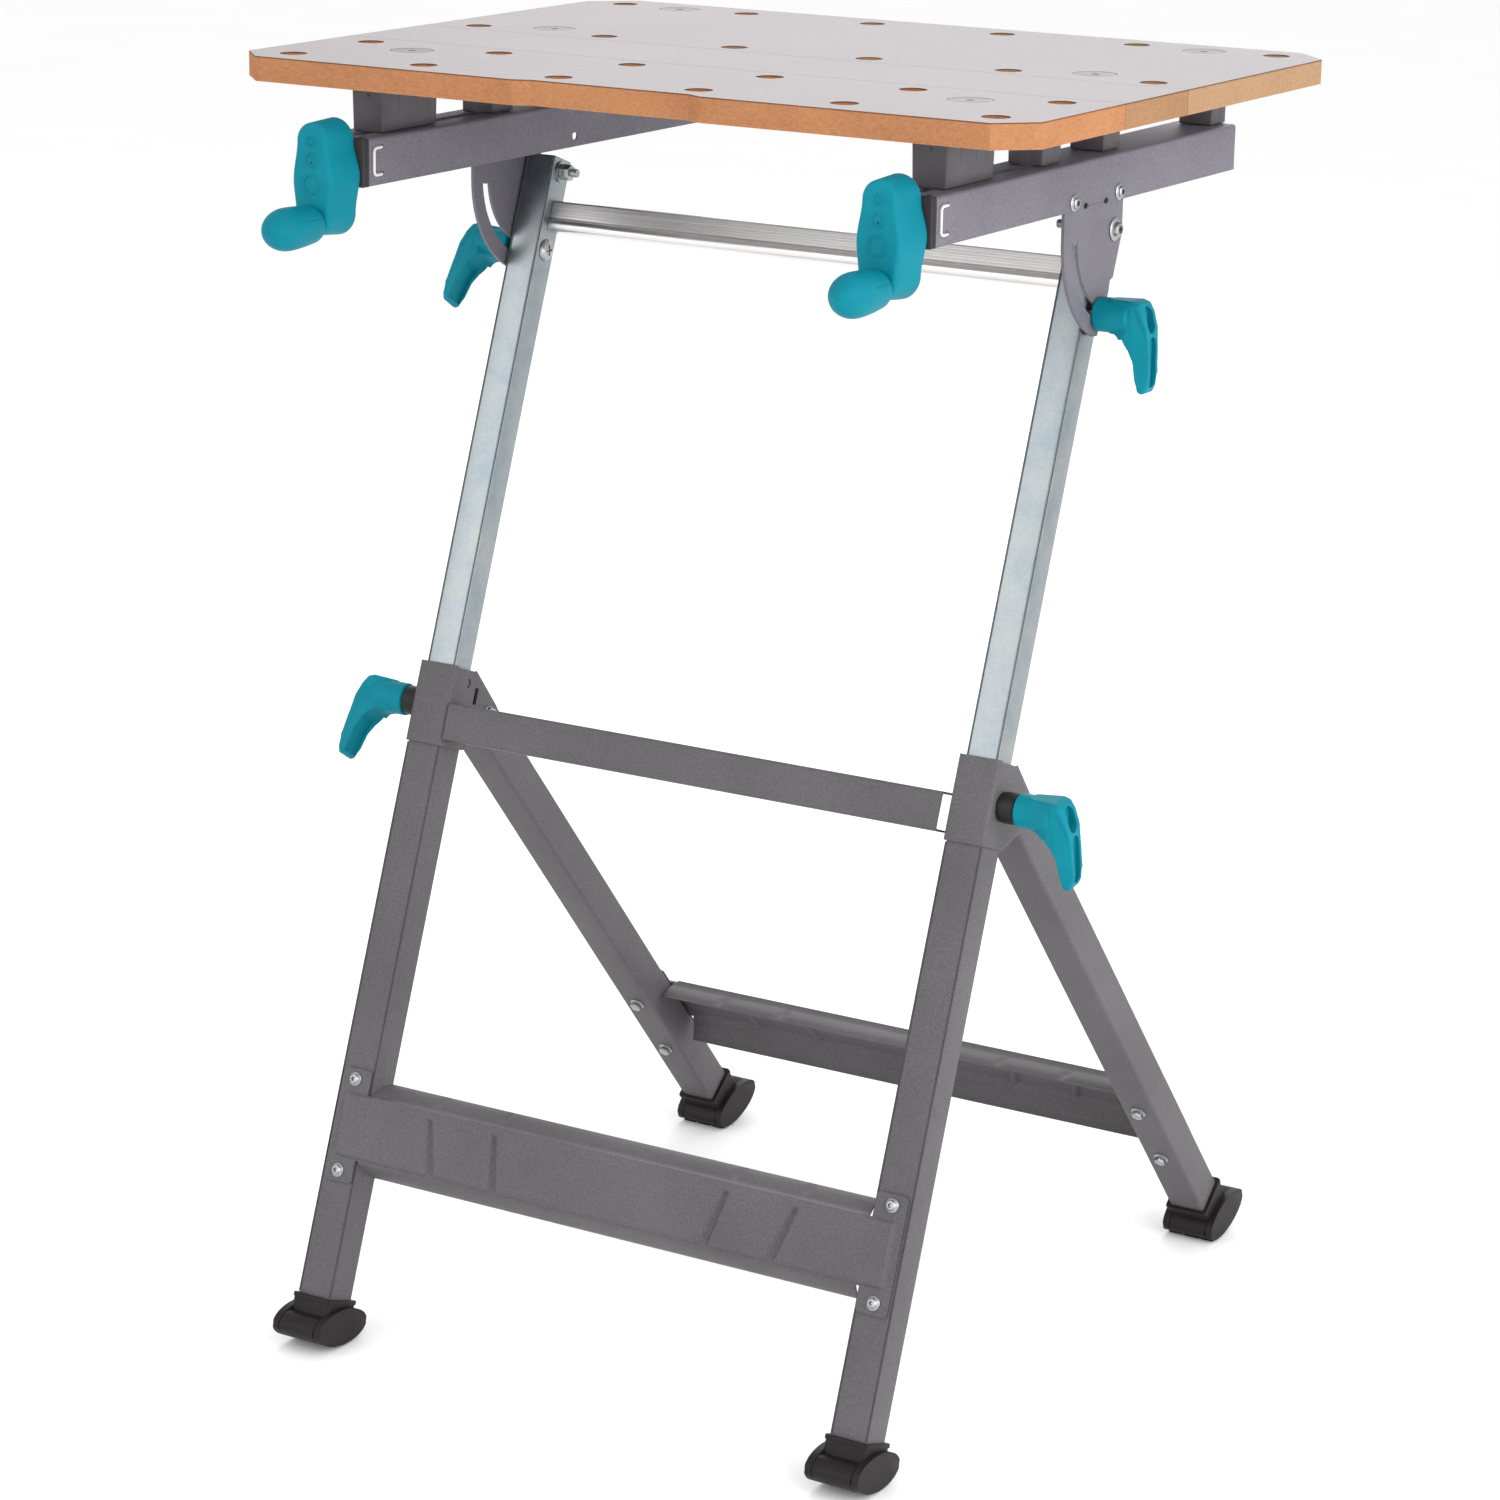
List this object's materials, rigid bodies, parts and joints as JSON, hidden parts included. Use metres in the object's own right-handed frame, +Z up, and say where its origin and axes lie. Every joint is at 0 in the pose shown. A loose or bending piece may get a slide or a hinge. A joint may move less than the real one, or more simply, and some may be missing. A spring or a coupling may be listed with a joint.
{
  "type": "folding work bench",
  "caption": "Folding clamping work bench: planked top that tilts, telescopic front legs, folding rear legs, crank-driven front jaw.",
  "frame": {"origin": "on the floor under the middle of the bench's box", "axes": "+Z up, +X along the planks, -Y towards the cranks and the user"},
  "size_m": [0.65, 0.6622, 0.976],
  "materials": {
    "laminate": "satin",
    "block_plastic": "matte",
    "leg_paint": "satin",
    "zinc_plate": "satin",
    "aluminium": "satin",
    "teal_plastic": "satin",
    "foot_rubber": "matte",
    "disc_plastic": "satin",
    "black_plastic": "satin"
  },
  "bodies": {
    "front_frame": {"front_leg_left": "leg_paint", "front_leg_right": "leg_paint", "front_foot_left": "foot_rubber", "front_foot_right": "foot_rubber", "collar_left": "leg_paint", "collar_right": "leg_paint", "upper_bar": "leg_paint", "front_lower_panel": "leg_paint", "spacer_bush_left": "black_plastic", "spacer_bush_right": "black_plastic", "fold_pivot_bolt_left": "zinc_plate", "fold_pivot_bolt_right": "zinc_plate", "fold_latch_left": "black_plastic", "fold_latch_right": "black_plastic"},
    "height_frame": {"upright_left": "zinc_plate", "upright_right": "zinc_plate", "cross_bar": "aluminium", "tilt_pivot_bolt_left": "zinc_plate", "tilt_pivot_bolt_right": "zinc_plate", "tilt_clamp_bolt_left": "zinc_plate", "tilt_clamp_bolt_right": "zinc_plate"},
    "rear_frame": {"rear_leg_left": "leg_paint", "rear_leg_right": "leg_paint", "rear_lower_panel": "leg_paint", "rear_foot_left": "foot_rubber", "rear_foot_right": "foot_rubber"},
    "table": {"middle_plank": "laminate", "rear_plank": "laminate", "beam_left": "leg_paint", "beam_right": "leg_paint", "beam_end_cap_left": "block_plastic", "beam_end_cap_right": "block_plastic", "tilt_bracket_left": "leg_paint", "tilt_bracket_right": "leg_paint", "middle_block_left": "block_plastic", "middle_block_right": "block_plastic", "rear_inner_block_left": "block_plastic", "rear_inner_block_right": "block_plastic", "rear_outer_block_left": "block_plastic", "rear_outer_block_right": "block_plastic", "rear_inner_screw_left": "disc_plastic", "rear_inner_screw_right": "disc_plastic", "rear_outer_screw_left": "disc_plastic", "rear_outer_screw_right": "disc_plastic"},
    "front_jaw": {"front_plank": "laminate", "front_jaw_block_left": "block_plastic", "front_jaw_block_right": "block_plastic", "front_jaw_screw_left": "disc_plastic", "front_jaw_screw_right": "disc_plastic"},
    "crank_left": {"crank_left": "teal_plastic", "spindle_left": "zinc_plate"},
    "knob_left": {"crank_knob_left": "teal_plastic"},
    "tilt_lever_left": {"tilt_lever_left": "teal_plastic"},
    "height_lever_left": {"height_lever_left": "teal_plastic"},
    "crank_right": {"crank_right": "teal_plastic", "spindle_right": "zinc_plate"},
    "knob_right": {"crank_knob_right": "teal_plastic"},
    "tilt_lever_right": {"tilt_lever_right": "teal_plastic"},
    "height_lever_right": {"height_lever_right": "teal_plastic"}
  },
  "joints": [
    {"name": "height_slide", "type": "slide", "parent": "front_frame", "child": "height_frame", "axis": [0, 0.342, 0.9397], "range_m": [-0.27, 0]},
    {"name": "top_tilt", "type": "hinge", "parent": "height_frame", "child": "table", "pos_m": [0, 0.02939, 0.8669], "axis": [1, 0, 0], "range_deg": [0, 62]},
    {"name": "leg_fold", "type": "hinge", "parent": "front_frame", "child": "rear_frame", "pos_m": [0, -0.07817, 0.45591], "axis": [-1, 0, 0], "range_deg": [0, 58]},
    {"name": "jaw_slide", "type": "slide", "parent": "table", "child": "front_jaw", "axis": [0, -1, 0], "range_m": [0, 0.024]},
    {"name": "crank_turn_left", "type": "hinge", "parent": "table", "child": "crank_left", "pos_m": [-0.232, -0.2621, 0.905], "axis": [0, -1, 0], "range_deg": [0, 2160]},
    {"name": "knob_spin_left", "type": "hinge", "parent": "crank_left", "child": "knob_left", "pos_m": [-0.232, -0.3071, 0.8635], "axis": [0, -1, 0], "continuous": true},
    {"name": "crank_turn_right", "type": "hinge", "parent": "table", "child": "crank_right", "pos_m": [0.232, -0.2621, 0.905], "axis": [0, -1, 0], "range_deg": [0, 2160]},
    {"name": "knob_spin_right", "type": "hinge", "parent": "crank_right", "child": "knob_right", "pos_m": [0.232, -0.3071, 0.8635], "axis": [0, -1, 0], "continuous": true},
    {"name": "tilt_lever_turn_left", "type": "hinge", "parent": "height_frame", "child": "tilt_lever_left", "pos_m": [-0.28, 0.00818, 0.80864], "axis": [1, 0, 0], "range_deg": [-27, 48]},
    {"name": "height_lever_turn_left", "type": "hinge", "parent": "front_frame", "child": "height_lever_left", "pos_m": [-0.29, -0.11528, 0.46941], "axis": [1, 0, 0], "range_deg": [-27, 48]},
    {"name": "tilt_lever_turn_right", "type": "hinge", "parent": "height_frame", "child": "tilt_lever_right", "pos_m": [0.28, 0.00818, 0.80864], "axis": [1, 0, 0], "range_deg": [-60, 15]},
    {"name": "height_lever_turn_right", "type": "hinge", "parent": "front_frame", "child": "height_lever_right", "pos_m": [0.29, -0.11528, 0.46941], "axis": [1, 0, 0], "range_deg": [-60, 15]}
  ],
  "couplings": [
    {"joint": "crank_turn_left", "follows": "jaw_slide", "rad_per_m": 1570.8},
    {"joint": "crank_turn_right", "follows": "jaw_slide", "rad_per_m": 1570.8}
  ]
}
